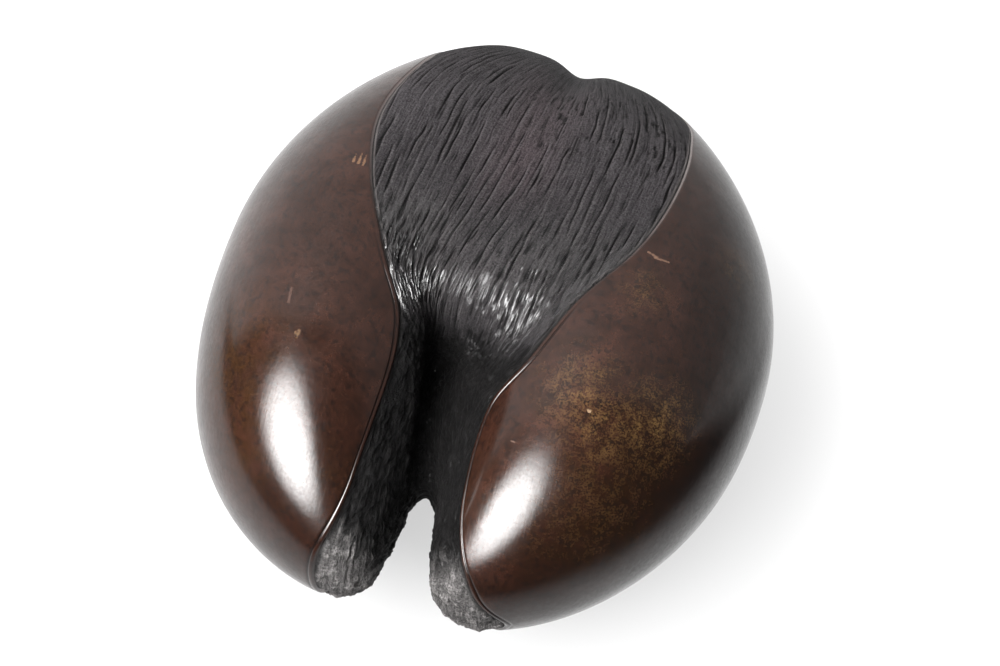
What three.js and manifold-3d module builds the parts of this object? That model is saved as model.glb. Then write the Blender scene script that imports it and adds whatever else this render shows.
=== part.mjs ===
// Coco de mer seed, one solid: two long lobes grown together over their upper half,
// a fibrous heart between them, and a cleft open from front to back between the tips.
// It lies on its back, on a small flat spot under each lobe.
//
// Millimetres. X runs across the two lobes, the tips point to -Y, the heart faces +Z.
// The origin is on the ground, under the middle of the seed.
//
// The surface is a function of two parameters. One is the angle round the seed, seen
// from its side: 0 at the notched end, 90 at the front, 180 at the tips, 270 at the back.
// The other runs across the seed, from the middle of the bridge to a lobe's outer pole.

import * as THREE from 'three';
import { mergeVertices } from 'three/addons/utils/BufferGeometryUtils.js';
import Module from 'manifold-3d';

// Driving dimensions of the two lobes. Each is an ellipsoid with its poles on X.
// bend and hook draw its tip to the middle, fan narrows the tip, swell flattens the back.
const LEFT_LOBE = {
  side: -1, middle: 67.5, width: 66, length: 149, depth: 76.5,
  swell: 3.5, shift: -2.5, bend: 30.5, bendPower: 4, hook: 1, fan: -0.14,
};
const RIGHT_LOBE = {
  side: 1, middle: 58, width: 69, length: 145.5, depth: 71.5,
  swell: 4.5, shift: -0.5, bend: 30, bendPower: 2.6, hook: 1, fan: 0.08,
};
const LEAN = 42; // how far the lobes lean together at the notched end
const FRONT_TAPER = -0.12; // the front is this share lower at the notched end
const TIP_BUMP = { height: 1.5, lean: 0.4, across: 108, acrossWidth: 19, roundWidth: 40 };

// The seam between the lobes lies at x, and swings to the left round one place in y.
const SEAM = { x: -1, swing: -17.5, y: -44, spread: 50 };

// The narrowest slit between the lobes' inner faces, which are pressed back from the
// seam where they would touch.
const SLIT = { width: 3, softness: 3, facing: -0.25, blend: 0.1 };

// Stations round the seed, in degrees: where the polish ends on each lobe and where the
// bridge leaves the lobes, both measured from the outer pole. Then the bridge's depth,
// and its fullness: how far it carries on in its own direction before it turns.
const STATIONS = [
  { round: 0, left: 68, right: 82, bridge: 92, depth: -2, full: 0.9 },
  { round: 25, left: 67, right: 67, bridge: 82, depth: 0, full: 0.8 },
  { round: 50, left: 74, right: 71, bridge: 80, depth: 1, full: 0.7 },
  { round: 70, left: 81, right: 80, bridge: 85, depth: 1, full: 0.6 },
  { round: 85, left: 93, right: 91, bridge: 97, depth: 0, full: 0.5 },
  { round: 98, left: 108, right: 107, bridge: 111, depth: 4, full: 0.5 },
  { round: 110, left: 122, right: 116, bridge: 130, depth: 15, full: 0.5 },
  { round: 125, left: 124, right: 126, bridge: 140, depth: 22, full: 0.5 },
  { round: 145, left: 113, right: 117, bridge: 138, depth: 18, full: 0.7 },
  { round: 165, left: 91, right: 91, bridge: 136, depth: 12, full: 0.9 },
  { round: 185, left: 88, right: 77, bridge: 136, depth: 8, full: 0.9 },
  { round: 210, left: 102, right: 98, bridge: 140, depth: 8, full: 0.9 },
  { round: 235, left: 128, right: 128, bridge: 146, depth: 8, full: 0.9 },
  { round: 255, left: 134, right: 134, bridge: 147, depth: 8, full: 0.9 },
  { round: 280, left: 130, right: 130, bridge: 142, depth: 6, full: 0.9 },
  { round: 305, left: 112, right: 112, bridge: 125, depth: 6, full: 0.9 },
  { round: 332, left: 80, right: 80, bridge: 105, depth: 4, full: 0.9 },
];
const LEAST_LEDGE = 3; // degrees of fibre on a lobe beside the bridge
const CHORD_SHARE = 0.6; // how much the bridge meets the lobe straight, not tangent

// The notch along the seam at the top end: it fades between two angles.
const NOTCH = { depth: 6, halfWidth: 10, fullTo: 30, goneAt: 65 };

const FLAT_SPOT_CUT = 1; // how much of each lobe's lowest point is worn flat
const ROUND_STEPS = 72;
const BRIDGE_STEPS = 5;
const LEDGE_STEPS = 11;
const POLISHED_STEPS = 12;
const CUTTER = { side: 400, height: 40 };

const DEGREE = Math.PI / 180;

function smoothStep(value) {
  const t = THREE.MathUtils.clamp(value, 0, 1);
  return t * t * (3 - 2 * t);
}

// A smooth closed curve through one column of the stations. Each station's slope is
// the slope of the line between its two neighbours.
function station(name, angle) {
  const count = STATIONS.length;
  const turn = ((angle / DEGREE) % 360 + 360) % 360;
  const at = (index) => {
    const lap = Math.floor(index / count);
    const row = STATIONS[index - lap * count];
    return { x: row.round + 360 * lap, y: row[name] };
  };
  const slope = (index) => {
    const before = at(index - 1);
    const after = at(index + 1);
    return (after.y - before.y) / (after.x - before.x);
  };
  let first = count - 1;
  while (STATIONS[first].round > turn) first -= 1;
  const a = at(first);
  const b = at(first + 1);
  const span = b.x - a.x;
  return hermite((turn - a.x) / span, a.y, b.y, slope(first) * span, slope(first + 1) * span);
}

// The cubic from one value to another with the given slopes at its ends.
function hermite(t, from, to, slopeFrom, slopeTo) {
  const rise = 3 * t ** 2 - 2 * t ** 3;
  return from * (1 - rise) + to * rise
    + slopeFrom * (t ** 3 - 2 * t ** 2 + t) + slopeTo * (t ** 3 - t ** 2);
}

const seam = (y) => SEAM.x + SEAM.swing * Math.exp(-(((y - SEAM.y) / SEAM.spread) ** 2));

// Presses a lobe's inner half back from the seam, softly.
function pressed(lobe, across, y, fromPole) {
  const wall = SLIT.width / 2 + lobe.side * seam(y);
  const inner = 1 / (1 + Math.exp((Math.cos(fromPole) - SLIT.facing) / SLIT.blend));
  const flat = wall + SLIT.softness * Math.log1p(Math.exp((across - wall) / SLIT.softness));
  return THREE.MathUtils.lerp(across, flat, inner);
}

// A point on one lobe, by its angle from the outer pole and its angle round the seed.
function lobePoint(lobe, fromPole, round) {
  const along = Math.sin(fromPole) * Math.cos(round);
  const up = Math.sin(fromPole) * Math.sin(round);
  const tip = Math.max(-along, 0);
  const top = Math.max(along, 0);
  const turn = ((round / DEGREE) % 360 + 360) % 360;
  const bump = TIP_BUMP.height * Math.exp(
    -(((fromPole / DEGREE - TIP_BUMP.across) / TIP_BUMP.acrossWidth) ** 2)
    - (((turn - 180) / TIP_BUMP.roundWidth) ** 2),
  );
  const across = lobe.middle + lobe.width * (1 - lobe.fan * tip ** 4) * Math.cos(fromPole)
    - lobe.bend * tip ** lobe.bendPower - lobe.hook * tip ** 10
    - LEAN * top ** 2 - TIP_BUMP.lean * bump;
  const y = lobe.shift + lobe.length * along - bump;
  const height = lobe.depth - lobe.swell + lobe.depth * up + lobe.swell * up ** 2
    + FRONT_TAPER * lobe.depth * along * Math.max(up, 0);
  return new THREE.Vector3(lobe.side * pressed(lobe, across, y, fromPole), y, height);
}

const bridgeEdge = (name, round) => DEGREE * Math.max(
  station('bridge', round),
  station(name, round) + LEAST_LEDGE,
);

// The middle of the bridge: halfway between the lobes, sunk towards the seed's axis, and
// on the seam.
function bridgeMiddle(round) {
  const left = lobePoint(LEFT_LOBE, bridgeEdge('left', round), round);
  const right = lobePoint(RIGHT_LOBE, bridgeEdge('right', round), round);
  const outward = new THREE.Vector3(0, Math.cos(round), Math.sin(round));
  const sunk = left.add(right).multiplyScalar(0.5);
  sunk.addScaledVector(outward, -station('depth', round));
  return sunk.setX(seam(sunk.y));
}

// The bridge from its middle (t = 0) to the lobe (t = 1). It is level in the middle, and
// partly follows the lobe's slope where they meet.
function bridgePoint(lobe, name, t, round) {
  const nudge = 0.001;
  const edge = bridgeEdge(name, round);
  const middle = bridgeMiddle(round);
  const end = lobePoint(lobe, edge, round);
  const reach = end.distanceTo(middle) * station('full', round);
  const chord = end.clone().sub(middle).setLength(reach);
  const leaving = new THREE.Vector3(lobe.side * reach, 0, 0);
  const arriving = lobePoint(lobe, edge - nudge, round).sub(end).setLength(reach);
  arriving.lerp(chord, CHORD_SHARE);
  return new THREE.Vector3(
    hermite(t, middle.x, end.x, leaving.x, arriving.x),
    hermite(t, middle.y, end.y, leaving.y, arriving.y),
    hermite(t, middle.z, end.z, leaving.z, arriving.z),
  );
}

function notched(point, round) {
  const turn = Math.abs(((round / DEGREE + 180) % 360) - 180);
  const fade = 1 - smoothStep((turn - NOTCH.fullTo) / (NOTCH.goneAt - NOTCH.fullTo));
  const aside = (point.x - seam(point.y)) / NOTCH.halfWidth;
  const cut = NOTCH.depth * fade * Math.exp(-(aside ** 2));
  return point.addScaledVector(new THREE.Vector3(0, Math.cos(round), Math.sin(round)), -cut);
}

// The rings of one half, from beside the middle of the bridge to beside the outer pole.
// Each ring is a function from the angle round the seed to a point.
function halfRings(lobe, name) {
  const rings = [];
  for (let i = 1; i < BRIDGE_STEPS; i += 1) {
    rings.push((round) => notched(bridgePoint(lobe, name, i / BRIDGE_STEPS, round), round));
  }
  for (let i = 0; i < LEDGE_STEPS; i += 1) {
    rings.push((round) => notched(lobePoint(lobe, THREE.MathUtils.lerp(
      bridgeEdge(name, round),
      station(name, round) * DEGREE,
      i / LEDGE_STEPS,
    ), round), round));
  }
  for (let i = 0; i < POLISHED_STEPS; i += 1) {
    const share = 1 - i / POLISHED_STEPS;
    rings.push((round) => lobePoint(lobe, station(name, round) * DEGREE * share, round));
  }
  return rings;
}

// A closed mesh: a pole, the rings in order, and the other pole.
function closedSkin() {
  const left = halfRings(LEFT_LOBE, 'left').reverse();
  const right = halfRings(RIGHT_LOBE, 'right');
  const rings = [...left, (round) => notched(bridgeMiddle(round), round), ...right];
  const points = [lobePoint(LEFT_LOBE, 0, 0)];
  for (const ring of rings) {
    for (let j = 0; j < ROUND_STEPS; j += 1) points.push(ring((2 * Math.PI * j) / ROUND_STEPS));
  }
  points.push(lobePoint(RIGHT_LOBE, 0, 0));

  const faces = [];
  const vertex = (ring, j) => 1 + ring * ROUND_STEPS + (j % ROUND_STEPS);
  const lastPole = points.length - 1;
  for (let j = 0; j < ROUND_STEPS; j += 1) {
    faces.push(0, vertex(0, j + 1), vertex(0, j));
    for (let ring = 0; ring < rings.length - 1; ring += 1) {
      faces.push(vertex(ring, j), vertex(ring, j + 1), vertex(ring + 1, j + 1));
      faces.push(vertex(ring, j), vertex(ring + 1, j + 1), vertex(ring + 1, j));
    }
    faces.push(lastPole, vertex(rings.length - 1, j), vertex(rings.length - 1, j + 1));
  }
  const geometry = new THREE.BufferGeometry().setFromPoints(points);
  geometry.setIndex(faces);
  return geometry;
}

function solidOf(wasm, geometry) {
  return new wasm.Manifold(new wasm.Mesh({
    numProp: 3,
    vertProperties: new Float32Array(geometry.attributes.position.array),
    triVerts: new Uint32Array(geometry.index.array),
  }));
}

// What lies below the ground is cut off, which leaves the two flat spots.
function flattened(wasm, geometry) {
  geometry.translate(0, 0, -FLAT_SPOT_CUT);
  const cutter = new THREE.BoxGeometry(CUTTER.side, CUTTER.side, CUTTER.height);
  cutter.translate(0, 0, -CUTTER.height / 2);
  cutter.deleteAttribute('normal');
  cutter.deleteAttribute('uv');
  const cut = solidOf(wasm, geometry).subtract(solidOf(wasm, mergeVertices(cutter))).getMesh();
  const flat = new THREE.BufferGeometry();
  flat.setAttribute('position', new THREE.BufferAttribute(cut.vertProperties, 3));
  flat.setIndex(new THREE.BufferAttribute(cut.triVerts, 1));
  return flat;
}

const wasm = await Module();
wasm.setup();
const geometry = flattened(wasm, closedSkin());
geometry.computeBoundingBox();
const middle = geometry.boundingBox.getCenter(new THREE.Vector3());
geometry.translate(-middle.x, -middle.y, 0);
geometry.computeVertexNormals();

const shell = new THREE.MeshStandardMaterial({ color: 0x4a2c22, roughness: 0.3, metalness: 0 });
const seed = new THREE.Mesh(geometry, shell);
seed.name = 'seed';

const coco = new THREE.Group();
coco.add(seed);

export default coco;
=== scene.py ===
"""A coco de mer seed on its back: two polished brown lobes round a dark fibrous heart.

Every surface is a function of two numbers. The turn is the angle round the seed, seen
from its side: 0 at the notched end, 90 at the front, 180 at the tips, 270 at the back.
The other number runs across one half of the seed, from the seam between the lobes,
over the fibrous husk, to the outer pole of the polished lobe.
Lengths are millimetres until a mesh is made.
"""

import bpy
import numpy as np
from mathutils import Matrix, Vector


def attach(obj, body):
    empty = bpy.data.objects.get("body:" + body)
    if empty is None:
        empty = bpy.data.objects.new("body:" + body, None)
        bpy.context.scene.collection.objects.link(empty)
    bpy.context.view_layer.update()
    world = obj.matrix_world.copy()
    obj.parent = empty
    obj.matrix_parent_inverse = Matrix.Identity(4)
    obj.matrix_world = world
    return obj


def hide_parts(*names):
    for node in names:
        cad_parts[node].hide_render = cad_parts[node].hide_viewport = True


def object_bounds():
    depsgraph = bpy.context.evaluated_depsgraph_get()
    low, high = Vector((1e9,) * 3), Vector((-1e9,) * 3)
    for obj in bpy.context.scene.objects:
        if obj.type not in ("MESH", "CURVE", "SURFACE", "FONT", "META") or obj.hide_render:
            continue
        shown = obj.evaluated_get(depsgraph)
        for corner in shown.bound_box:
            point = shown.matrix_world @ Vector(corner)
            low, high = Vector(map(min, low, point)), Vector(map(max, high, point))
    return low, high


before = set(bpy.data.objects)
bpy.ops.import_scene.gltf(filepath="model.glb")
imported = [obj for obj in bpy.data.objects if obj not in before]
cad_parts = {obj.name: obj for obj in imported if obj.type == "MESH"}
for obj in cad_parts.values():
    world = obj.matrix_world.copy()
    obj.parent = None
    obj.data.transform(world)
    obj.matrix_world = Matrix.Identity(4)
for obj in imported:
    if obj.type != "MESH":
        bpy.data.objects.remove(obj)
cad_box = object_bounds()

DEGREE = np.pi / 180
MM = 0.001

# The two lobes are ellipsoids with their poles on X. Bend and hook draw the tip to the
# middle, fan narrows the tip and swell flattens the back. On the husk, notch_spread draws
# the fibres together at the notch, straightened takes the seam's swing out of them, pits
# is how much the heart's bump is pitted, and the tip is worn pale from a Y on.
LEFT = dict(side=-1, middle=67.5, width=66, length=149, depth=76.5, swell=3.5, shift=-2.5,
            bend=30.5, bend_power=4.0, hook=1, fan=-0.14,
            notch_spread=0.42, straightened=0.0, pits=0, worn_from=-127)
RIGHT = dict(side=1, middle=58, width=69, length=145.5, depth=71.5, swell=4.5, shift=-0.5,
             bend=30, bend_power=2.6, hook=1, fan=0.08,
             notch_spread=0.45, straightened=0.85, pits=1, worn_from=-122)
LEAN = 42.0
FRONT_TAPER = -0.12
TIP_BUMP = dict(height=1.5, lean=0.4, across=108.0, across_width=19.0, round_width=40.0)
SEAM = dict(x=-1.0, swing=-17.5, y=-44.0, spread=50.0)
SLIT = dict(width=3.0, softness=3.0, facing=-0.25, blend=0.1)
NOTCH = dict(depth=6.0, half_width=10.0, full_to=30.0, gone_at=65.0)
FLAT_SPOT_CUT = 1.0
CHORD_SHARE = 0.6
LEAST_LEDGE = 3.0
LIP_DEPTH = 0.85

# Round the seed: turn, where the polish ends on the left and the right lobe, where the
# bridge leaves the lobes, the bridge's depth, and how full its curve is.
STATIONS = np.array([
    [0, 68, 82, 92, -2, 0.9],
    [25, 67, 67, 82, 0, 0.8],
    [50, 74, 71, 80, 1, 0.7],
    [70, 81, 80, 85, 1, 0.6],
    [85, 93, 91, 97, 0, 0.5],
    [98, 108, 107, 111, 4, 0.5],
    [110, 122, 116, 130, 15, 0.5],
    [125, 124, 126, 140, 22, 0.5],
    [145, 113, 117, 138, 18, 0.7],
    [165, 91, 91, 136, 12, 0.9],
    [185, 88, 77, 136, 8, 0.9],
    [210, 102, 98, 140, 8, 0.9],
    [235, 128, 128, 146, 8, 0.9],
    [255, 134, 134, 147, 8, 0.9],
    [280, 130, 130, 142, 6, 0.9],
    [305, 112, 112, 125, 6, 0.9],
    [332, 80, 80, 105, 4, 0.9],
])
POLISH_EDGE = {-1: 1, 1: 2}
BRIDGE_EDGE, BRIDGE_DEPTH, BRIDGE_FULLNESS = 3, 4, 5

# The grid: how many rounds and columns, and how closely the rounds lie over the heart and
# the tips, by turn. The columns of the lip are given by their distance from the husk. The
# fine steps are those in which turns and ways are summed, and a nudge is a small angle in
# radians.
ROUNDS = 440
DENSITY = dict(even=0.62, heart=0.6, heart_ends=(118, 138), heart_starts=(350, 360),
               tips=0.35, tips_at=175, tips_width=40)
HUSK_COLUMNS = 218
HUSK_BLURS = 60
LIP_COLUMNS = np.array([0.25, 0.5, 0.75, 1.0, 1.25, 1.5, 1.75, 1.95, 2.1, 2.25, 2.4, 2.6,
                        2.9, 3.3, 3.9, 4.7, 5.8, 7.2, 9.0])
POLISHED_COLUMNS = 44
FINE_TURNS, FINE_WAYS = 3601, 501
NUDGE = 0.001

# The run of the fibres: they spread out from the notch and close a little after the heart,
# by turn, and take up the seam's swing by their distance from the seam. The mean radius of
# a round turns an angle into a length. Noise repeats after so many cells.
FIBRES = dict(spread_by=62, closing=0.25, closes=(95, 135), swing_by=45, straight_by=70)
MEAN_RADIUS = 95.0
NOISE_CELLS = 32

# The grooves between the fibres. Wave, kink, depth and width each follow a noise with an
# amount and a length along the groove, and each groove reads it in a row of its own.
GROOVES = dict(each_side=27, spacing=4.3, stray=1.2, row_gap=37.0, wave=(1.3, 26), kink=(0.5, 6),
               depth=0.45, depth_change=(1.3, 13), width=0.38, width_change=(0.16, 9),
               rim_at=0.95, rim_width=0.55)

# Zones of the husk. A pair is where a zone begins and where it is full: front and reach_up
# by height, the heart's top, valley and bump by Y, strong_x by X, inland by the distance from
# the polish, the others by turn. "At" is the turn of a bell's middle. The worn tip fades by Y.
# The heart's top is painted light: coloured lighter, as if lit from above and behind.
FRONT, LIT_CROWN, VALLEY, BUMP = (95, 125), (5, 65), (5, 45), (40, 80)
VALLEY_WIDTH = 17
CLEFT = dict(begins=(104, 118), ends=(330, 350))
WORN_FADE = 17
SHOULDER = dict(at=98, width=10.5, tilt=0.07, level_x=-10, reach_up=(90, 115), ends=(104, 113),
                calm=0.5, calm_x=-6, calm_width=20, strong=0.9, strong_x=(-20, -35))
BELOW = dict(at=110, width=8, reach_up=(60, 90), inland=(4, 14))

# Masks that only colour the husk. The shoulder's gloss follows its ropes and is calmer in
# one place. The hem is a pale line, a painted highlight along the husk's edge, the crevice
# a dark line of painted shade beside the polish, and a cavity is painted all dark at its
# depth, as shade.
GLINT = dict(least=0.3, rope=1.2, sharp=1.3, calm=0.6, calm_width=22)
LIT_HEM = dict(inland=1.1, width=0.45, turn=48, reach=38)
CREVICE_SHADE_WIDTH = 1.7
CAVITY_DEPTH = 1.3

# The relief of the husk: the height in mm of each pattern in each zone, how far all of it
# is sunk, and how far from the polish it starts.
RELIEF = {
    "heart": dict(faint_groove=-0.85, rim=0.16, streak=0.42, fine=0.24, grain=0.10),
    "bump": dict(dent=-0.42),
    "shoulder": dict(rope=0.95, knots=0.85, groove=-0.5),
    "below": dict(rope=0.5, knots=0.3),
    "cleft": dict(bark=1.2, crack=-0.9, streak=0.5, grain=0.2),
    "tip": dict(lumps=1.2, knots=0.3),
}
VALLEY_CALM = 0.4
RELIEF_SINK = 0.45
RELIEF_START = 1.5

# The polish beside the husk, by the distance inland from it: its rolled lip, the line
# scored from the shoulder round the tips with painted shade in it, faint waves, and a
# painted highlight that makes the lip pale.
LIP = dict(width=0.75, shade_width=0.9)
SCORE = dict(inland=2.9, width=0.4, depth=0.40, shade_width=0.5, begins=(92, 104), ends=(185, 200))
WAVES = dict(height=0.08, length=24, full_at=10)
LIP_HIGHLIGHT = dict(inland=0.45, width=0.4, turn=35, reach=48)

# Places on the polish, in the CAD frame: middle and reach of each patch, and its strength.
AMBER = [((-91, -80, 133), 25, 0.9), ((-80, -100, 129), 20, 0.8), ((-78, -116, 116), 17, 0.8),
         ((30, -105, 122), 22, 0.3), ((85, -100, 108), 34, 0.55), ((-45, -120, 122), 22, 0.4)]
GOLD = [((55, -57, 138), 15, 0.55), ((68, -70, 134), 15, 0.6), ((92, -59, 126), 16, 0.95),
        ((69, -4, 142), 9, 0.3), ((106, 33, 118), 11, 0.45), ((80, -95, 115), 32, 0.22)]

# Points inside the seed that close the pieces: one under the seam, one in each lobe.
SEAM_HUB = (2.0, 50.0, 87.0)
LOBE_HUBS = {-1: (-62.0, 2.0, 74.0), 1: (62.0, 2.0, 70.0)}

# Blotches of the polish: cells to the metre, and how hard their borders are. Specks: cells
# to the metre, and where their noise is cut off.
POLISH_BLOTCHES = dict(broad=(16.0, 2.4), cloud=(42.0, 3.4), small=(105.0, 3.2),
                       worn=(150.0, 5.0), pores=(620.0, 2.6))
POLISH_SPECKS = dict(dots=(420.0, 0.54), flecks=(1150.0, 0.47))

# Shades of the polish and the husk, as linear red, green and blue.
POLISH_SHADES = dict(
    umber=(0.0105, 0.0040, 0.0026), chestnut=(0.0310, 0.0106, 0.0064),
    cloud=(0.0050, 0.0022, 0.0016), stain=(0.0045, 0.0019, 0.0012), pore=(0.0330, 0.0140, 0.0088),
    deep_amber=(0.012, 0.0045, 0.0010), amber=(0.029, 0.0120, 0.0030), gold=(0.135, 0.076, 0.028),
    # The shade of the scored line is painted shade in its groove.
    dot=(0.005, 0.003, 0.0026), scored_shade=(0.003, 0.002, 0.002), lip=(0.010, 0.007, 0.0065),
    # The pale shade of the lip is a painted highlight.
    lip_highlight=(0.16, 0.135, 0.13),
)
HUSK_SHADES = dict(
    # The shade for the heart's top is painted light: lighter, as if lit from above and behind.
    charcoal=(0.014, 0.0122, 0.0135), ash=(0.023, 0.0205, 0.0222), lit_crown=(0.047, 0.042, 0.045),
    # The pale shade of the groove rims and the shoulder is a painted highlight.
    plum=(0.062, 0.046, 0.050), lit_rim=(0.098, 0.090, 0.092), gap=(0.006, 0.005, 0.005),
    pit=(0.007, 0.006, 0.006), grain=(0.14, 0.13, 0.13), shoulder=(0.008, 0.007, 0.007),
    # The cleft and groove shades are painted shade: near black in the deep cleft and round the back,
    # in the cavities and in the crevice.
    cleft=(0.0014, 0.0012, 0.0010), worn=(0.27, 0.255, 0.25), groove=(0.0018, 0.0015, 0.0015),
    # The hem's pale shade is a painted highlight along the husk's edge.
    hem=(0.24, 0.215, 0.21),
)

# Marks on the polish: from, to, width, shade and strength. Millimetres in the CAD frame.
SAND, TAN, OCHRE, RUST = (0.35, 0.24, 0.15), (0.26, 0.15, 0.10), (0.20, 0.12, 0.06), (0.20, 0.11, 0.06)
DULL, DUN, PIT = (0.16, 0.09, 0.07), (0.14, 0.09, 0.07), (0.002, 0.002, 0.002)
MARKS = [
    ((65.5, 16.4, 140.7), (70.0, 15.4, 140.1), 0.7, TAN, 0.3),
    ((69.0, 14.6, 140.3), (75.5, 14.9, 139.2), 0.6, TAN, 0.3),
    ((61.0, -64.0, 136.6), (61.6, -64.2, 136.5), 0.9, SAND, 0.55),
    ((31.0, -82.0, 126.0), (34.0, -82.6, 126.4), 0.5, DUN, 0.5),
    ((31.6, -121.7, 107.4), (32.6, -121.5, 107.8), 1.0, PIT, 1.0),
    ((-66.0, -68.2, 146.3), (-66.2, -71.4, 145.9), 0.9, OCHRE, 0.3),
    ((-67.4, -69.0, 146.0), (-67.0, -73.0, 145.6), 0.6, OCHRE, 0.25),
    ((-75.6, -50.5, 148.2), (-74.8, -56.5, 147.6), 0.8, DULL, 0.14),
    ((-71.5, 24.0, 149.6), (-71.0, 18.5, 149.8), 0.8, RUST, 0.35),
    ((-69.0, 25.0, 149.8), (-68.4, 18.0, 150.0), 0.8, RUST, 0.4),
    ((-66.5, 23.5, 150.0), (-66.0, 17.5, 150.2), 0.7, RUST, 0.35),
]

# The floor glows as well as taking the lamps' light. The camera sees it go from a painted
# soft shadow under the seed to white, by the distance from its middle in metres. The seed
# mirrors a sheet that fades out in front and goes on behind, by a distance that is slanted
# across and by Y, brighter on the left, and a dark rest.
FLOOR = dict(size=8, grey=0.12, roughness=0.7, dim=0.60, white=0.985, dim_to=0.09, white_from=0.22,
             sheet_ends=(0.44, 0.24), sheet_slant=0.4, behind=(0.0, 0.12), half_width=0.6,
             left=1.3, right=0.6, sheet=0.92, rest=0.06)

# The room: what the camera sees, and what the seed mirrors: a dark rest and a sheet behind,
# by the direction's Y, that is brighter on the left.
ROOM = dict(seen=0.95, behind=(-0.04, 0.13), left=1.20, right=0.34, rest=0.06)

# The middle that the softboxes face, in mm, and where their light fades out from their
# edge to their core, as shares of their size.
SEED_MIDDLE = (0, -10, 80)
SOFTBOX_EDGE, SOFTBOX_CORE = 0.50, 0.12

# The photograph's view: angles in degrees, distance and target in mm, how many pixels of
# the photograph's width a millimetre takes at that distance, and the sensor's width in mm.
VIEW = dict(azimuth=16.46, elevation=60.95, roll=0.41, distance=938.37, target=(5.45, -8.52, 79.0))
PIXELS_PER_MM = 2.16
PHOTO_WIDTH = 1000
SENSOR_WIDTH = 36


def smooth(t):
    """A soft step from 0 to 1: 3 t squared less 2 t cubed, held at its ends."""
    t = np.clip(t, 0, 1)
    return t * t * (3 - 2 * t)


def ramp(x, begin, full):
    """A soft step from 0 where x is at the begin to 1 where it is full."""
    return smooth((x - begin) / (full - begin))


def bell(x, width):
    """1 at x = 0, falling to 1/e at the width."""
    return np.exp(-((x / width) ** 2))


def degrees_from(turn, place):
    """How many degrees each turn lies from a place, from -180 to 180."""
    return np.mod(turn / DEGREE - place + 180, 360) - 180


def cubic(t, start, end, leaving, arriving):
    """The cubic from start to end with the given slopes at its two ends."""
    rise = 3 * t ** 2 - 2 * t ** 3
    return (start * (1 - rise) + end * rise + leaving * (t ** 3 - 2 * t ** 2 + t)
            + arriving * (t ** 3 - t ** 2))


def station(turn, column):
    """A closed smooth curve through one column of the stations."""
    at, value = STATIONS[:, 0], STATIONS[:, column]
    laps = np.concatenate([at[-1:] - 360, at, at[:2] + 360])
    values = np.concatenate([value[-1:], value, value[:2]])
    slopes = (values[2:] - values[:-2]) / (laps[2:] - laps[:-2])
    degrees = np.mod(turn / DEGREE, 360)
    first = np.clip(np.searchsorted(at, degrees, side="right") - 1, 0, len(at) - 1)
    span = laps[first + 2] - laps[first + 1]
    return cubic((degrees - laps[first + 1]) / span, values[first + 1], values[first + 2],
                 slopes[first] * span, slopes[first + 1] * span)


def seam(y):
    """The seam's x: nearly straight, with one swing to the left round the cleft's start."""
    return SEAM["x"] + SEAM["swing"] * bell(y - SEAM["y"], SEAM["spread"])


def outward(turn):
    """The unit direction away from the seed's X axis at each turn."""
    return np.stack([0 * turn, np.cos(turn), np.sin(turn)], -1)


def lobe_point(lobe, pole, turn):
    """A point on a lobe, by its angle from the outer pole and its turn.

    An ellipsoid, whose tip is bent to the middle by powers of how far it reaches to -Y,
    and whose inner half is pressed back softly from the seam.
    """
    along = np.sin(pole) * np.cos(turn)
    up = np.sin(pole) * np.sin(turn)
    tip, top = np.maximum(-along, 0), np.maximum(along, 0)
    bump = TIP_BUMP["height"] * (
        bell(pole / DEGREE - TIP_BUMP["across"], TIP_BUMP["across_width"])
        * bell(degrees_from(turn, 180), TIP_BUMP["round_width"]))
    x = (lobe["middle"] + lobe["width"] * (1 - lobe["fan"] * tip ** 4) * np.cos(pole)
         - lobe["bend"] * tip ** lobe["bend_power"] - lobe["hook"] * tip ** 10
         - LEAN * top ** 2 - TIP_BUMP["lean"] * bump)
    y = lobe["shift"] + lobe["length"] * along - bump
    z = (lobe["depth"] - lobe["swell"] + lobe["depth"] * up + lobe["swell"] * up ** 2
         + FRONT_TAPER * lobe["depth"] * along * np.maximum(up, 0))
    wall = SLIT["width"] / 2 + lobe["side"] * seam(y)
    inner = 1 / (1 + np.exp((np.cos(pole) - SLIT["facing"]) / SLIT["blend"]))
    pressed = wall + SLIT["softness"] * np.logaddexp(0, (x - wall) / SLIT["softness"])
    return np.stack([lobe["side"] * (x + inner * (pressed - x)), y, z], -1)


def edges(lobe, turn):
    """The angles from the pole where the polish ends and where the bridge begins."""
    polish = station(turn, POLISH_EDGE[lobe["side"]])
    bridge = np.maximum(station(turn, BRIDGE_EDGE), polish + LEAST_LEDGE)
    return polish * DEGREE, bridge * DEGREE


def bridge_point(lobe, share, turn):
    """The bridge from its middle (share 0) to the lobe (share 1), as a cubic.

    Its middle lies halfway between the lobes, sunk towards the seed's axis, on the seam.
    It is level there, and half follows the lobe's slope at its other end.
    """
    starts = [lobe_point(each, edges(each, turn)[1], turn) for each in (LEFT, RIGHT)]
    depth = station(turn, BRIDGE_DEPTH)[..., None]
    middle = (starts[0] + starts[1]) / 2 - depth * outward(turn)
    middle[..., 0] = seam(middle[..., 1])
    edge = edges(lobe, turn)[1]
    end = lobe_point(lobe, edge, turn)
    span = np.linalg.norm(end - middle, axis=-1, keepdims=True)
    slope = lobe_point(lobe, edge - NUDGE, turn) - end
    slope /= np.linalg.norm(slope, axis=-1, keepdims=True)
    chord = (end - middle) / span
    reach = span * station(turn, BRIDGE_FULLNESS)[..., None]
    arriving = (slope * (1 - CHORD_SHARE) + chord * CHORD_SHARE) * reach
    leaving = np.array([lobe["side"], 0, 0]) * reach
    return cubic(share[..., None], middle, end, leaving, arriving)


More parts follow.
